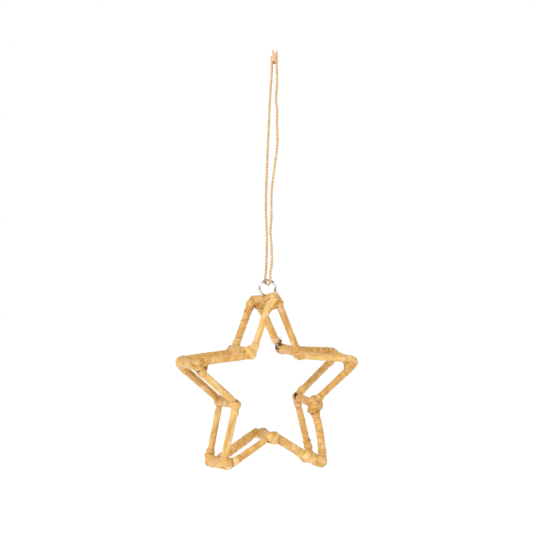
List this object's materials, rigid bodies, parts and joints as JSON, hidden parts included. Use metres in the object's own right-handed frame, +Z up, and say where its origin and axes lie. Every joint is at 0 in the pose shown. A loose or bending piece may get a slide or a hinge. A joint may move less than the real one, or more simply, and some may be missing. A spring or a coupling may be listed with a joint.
{
  "type": "rattan star ornament",
  "caption": "Hanging star ornament in the round: bent wire with cross-struts, wound all over with flat rattan peel, with a steel ring and a knotted twine loop.",
  "frame": {"origin": "the point of the twine loop, between its two strands just under the knot, that a hook or a twig holds", "axes": "+Z up, along the hanging loop; the front star faces -Y and the back star is towards +Y; +X is the star's right as seen from the front"},
  "size_m": [0.1196, 0.0387, 0.2799],
  "materials": {
    "frame_wire": "dull drawn wire",
    "rattan_peel": "satin, honey-gold flat peel",
    "rattan_lashing": "satin, honey-gold flat peel in several layers",
    "ring_steel": "bright plated",
    "jute_twine": "rough two-ply twine"
  },
  "bodies": {
    "root": {"wire_frame": "frame_wire", "back_top_left_leg_winding": "rattan_peel", "back_upper_left_bar_winding": "rattan_peel", "back_lower_left_bar_winding": "rattan_peel", "back_left_leg_winding": "rattan_peel", "back_bottom_left_bar_winding": "rattan_peel", "back_bottom_right_bar_winding": "rattan_peel", "back_right_leg_winding": "rattan_peel", "back_lower_right_bar_winding": "rattan_peel", "back_upper_right_bar_winding": "rattan_peel", "back_top_right_leg_winding": "rattan_peel", "back_top_point_binding": "rattan_lashing", "back_upper_left_notch_binding": "rattan_lashing", "back_left_point_binding": "rattan_lashing", "back_lower_left_notch_binding": "rattan_lashing", "back_bottom_left_point_binding": "rattan_lashing", "back_bottom_notch_binding": "rattan_lashing", "back_bottom_right_point_binding": "rattan_lashing", "back_lower_right_notch_binding": "rattan_lashing", "back_right_point_binding": "rattan_lashing", "back_upper_right_notch_binding": "rattan_lashing", "front_top_left_leg_winding": "rattan_peel", "front_upper_left_bar_winding": "rattan_peel", "front_lower_left_bar_winding": "rattan_peel", "front_left_leg_winding": "rattan_peel", "front_bottom_left_bar_winding": "rattan_peel", "front_bottom_right_bar_winding": "rattan_peel", "front_right_leg_winding": "rattan_peel", "front_lower_right_bar_winding": "rattan_peel", "front_upper_right_bar_winding": "rattan_peel", "front_top_right_leg_winding": "rattan_peel", "front_top_point_binding": "rattan_lashing", "front_upper_left_notch_binding": "rattan_lashing", "front_left_point_binding": "rattan_lashing", "front_lower_left_notch_binding": "rattan_lashing", "front_bottom_left_point_binding": "rattan_lashing", "front_bottom_notch_binding": "rattan_lashing", "front_bottom_right_point_binding": "rattan_lashing", "front_lower_right_notch_binding": "rattan_lashing", "front_right_point_binding": "rattan_lashing", "front_upper_right_notch_binding": "rattan_lashing", "top_point_strut_winding": "rattan_peel", "upper_left_notch_strut_winding": "rattan_peel", "left_point_strut_winding": "rattan_peel", "lower_left_notch_strut_winding": "rattan_peel", "bottom_left_point_strut_winding": "rattan_peel", "bottom_notch_strut_winding": "rattan_peel", "bottom_right_point_strut_winding": "rattan_peel", "lower_right_notch_strut_winding": "rattan_peel", "right_point_strut_winding": "rattan_peel", "upper_right_notch_strut_winding": "rattan_peel", "hanging_ring": "ring_steel", "twine_loop": "jute_twine", "twine_knot": "jute_twine"}
  },
  "joints": []
}
